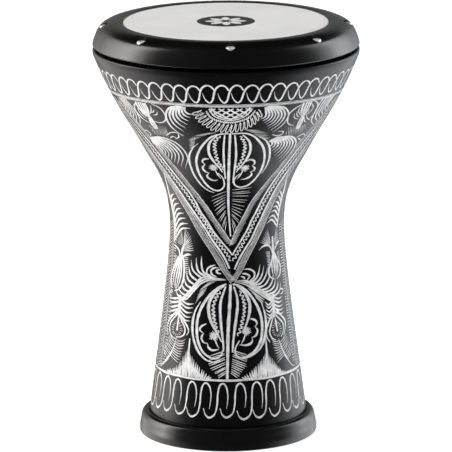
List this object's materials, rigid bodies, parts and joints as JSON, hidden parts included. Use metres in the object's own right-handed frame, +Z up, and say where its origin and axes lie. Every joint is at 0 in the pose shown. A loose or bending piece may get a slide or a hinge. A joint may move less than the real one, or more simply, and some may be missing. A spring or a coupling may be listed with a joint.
{
  "type": "goblet drum",
  "caption": "Cast goblet drum with a wide tuned head, a clamp ring drawn down by socket screws and a moulded foot ring, all screws turning together with the ring.",
  "frame": {"origin": "centre of the foot's underside, on the surface the drum stands on", "axes": "+Z up the drum's axis towards the head; -Y towards the first tuning screw, +X to the right when seen from there"},
  "size_m": [0.28, 0.28, 0.4416],
  "materials": {
    "shell_lacquer": "gloss black lacquer with bright-cut engraving",
    "ring_lacquer": "gloss black enamel",
    "hoop_aluminium": "mill finish",
    "head_film": "fine coated white film",
    "foot_rubber": "satin moulded",
    "screw_chrome": "polished",
    "washer_steel": "plain",
    "insert_brass": "machined"
  },
  "bodies": {
    "shell": {"shell": "shell_lacquer", "foot_ring": "foot_rubber", "head_film": "head_film", "thread_insert_1": "insert_brass", "thread_insert_2": "insert_brass", "thread_insert_3": "insert_brass", "thread_insert_4": "insert_brass", "thread_insert_5": "insert_brass", "thread_insert_6": "insert_brass", "thread_insert_7": "insert_brass", "thread_insert_8": "insert_brass"},
    "clamp_ring": {"clamp_ring": "ring_lacquer", "head_hoop": "hoop_aluminium", "washer_1": "washer_steel", "washer_2": "washer_steel", "washer_3": "washer_steel", "washer_4": "washer_steel", "washer_5": "washer_steel", "washer_6": "washer_steel", "washer_7": "washer_steel", "washer_8": "washer_steel"},
    "tuning_screw_1": {"tuning_screw_1": "screw_chrome"},
    "tuning_screw_2": {"tuning_screw_2": "screw_chrome"},
    "tuning_screw_3": {"tuning_screw_3": "screw_chrome"},
    "tuning_screw_4": {"tuning_screw_4": "screw_chrome"},
    "tuning_screw_5": {"tuning_screw_5": "screw_chrome"},
    "tuning_screw_6": {"tuning_screw_6": "screw_chrome"},
    "tuning_screw_7": {"tuning_screw_7": "screw_chrome"},
    "tuning_screw_8": {"tuning_screw_8": "screw_chrome"}
  },
  "joints": [
    {"name": "ring_tension", "type": "slide", "parent": "shell", "child": "clamp_ring", "axis": [0, 0, -1], "range_m": [-0.002, 0.003]},
    {"name": "screw_turn_1", "type": "hinge", "parent": "clamp_ring", "child": "tuning_screw_1", "pos_m": [0, -0.127, 0.435], "axis": [0, 0, -1], "range_deg": [-720, 1080]},
    {"name": "screw_turn_2", "type": "hinge", "parent": "clamp_ring", "child": "tuning_screw_2", "pos_m": [0.0898, -0.0898, 0.435], "axis": [0, 0, -1], "range_deg": [-720, 1080]},
    {"name": "screw_turn_3", "type": "hinge", "parent": "clamp_ring", "child": "tuning_screw_3", "pos_m": [0.127, 0, 0.435], "axis": [0, 0, -1], "range_deg": [-720, 1080]},
    {"name": "screw_turn_4", "type": "hinge", "parent": "clamp_ring", "child": "tuning_screw_4", "pos_m": [0.0898, 0.0898, 0.435], "axis": [0, 0, -1], "range_deg": [-720, 1080]},
    {"name": "screw_turn_5", "type": "hinge", "parent": "clamp_ring", "child": "tuning_screw_5", "pos_m": [0, 0.127, 0.435], "axis": [0, 0, -1], "range_deg": [-720, 1080]},
    {"name": "screw_turn_6", "type": "hinge", "parent": "clamp_ring", "child": "tuning_screw_6", "pos_m": [-0.0898, 0.0898, 0.435], "axis": [0, 0, -1], "range_deg": [-720, 1080]},
    {"name": "screw_turn_7", "type": "hinge", "parent": "clamp_ring", "child": "tuning_screw_7", "pos_m": [-0.127, 0, 0.435], "axis": [0, 0, -1], "range_deg": [-720, 1080]},
    {"name": "screw_turn_8", "type": "hinge", "parent": "clamp_ring", "child": "tuning_screw_8", "pos_m": [-0.0898, -0.0898, 0.435], "axis": [0, 0, -1], "range_deg": [-720, 1080]}
  ],
  "couplings": [
    {"joint": "screw_turn_1", "follows": "ring_tension", "rad_per_m": 6283.2},
    {"joint": "screw_turn_2", "follows": "ring_tension", "rad_per_m": 6283.2},
    {"joint": "screw_turn_3", "follows": "ring_tension", "rad_per_m": 6283.2},
    {"joint": "screw_turn_4", "follows": "ring_tension", "rad_per_m": 6283.2},
    {"joint": "screw_turn_5", "follows": "ring_tension", "rad_per_m": 6283.2},
    {"joint": "screw_turn_6", "follows": "ring_tension", "rad_per_m": 6283.2},
    {"joint": "screw_turn_7", "follows": "ring_tension", "rad_per_m": 6283.2},
    {"joint": "screw_turn_8", "follows": "ring_tension", "rad_per_m": 6283.2}
  ]
}
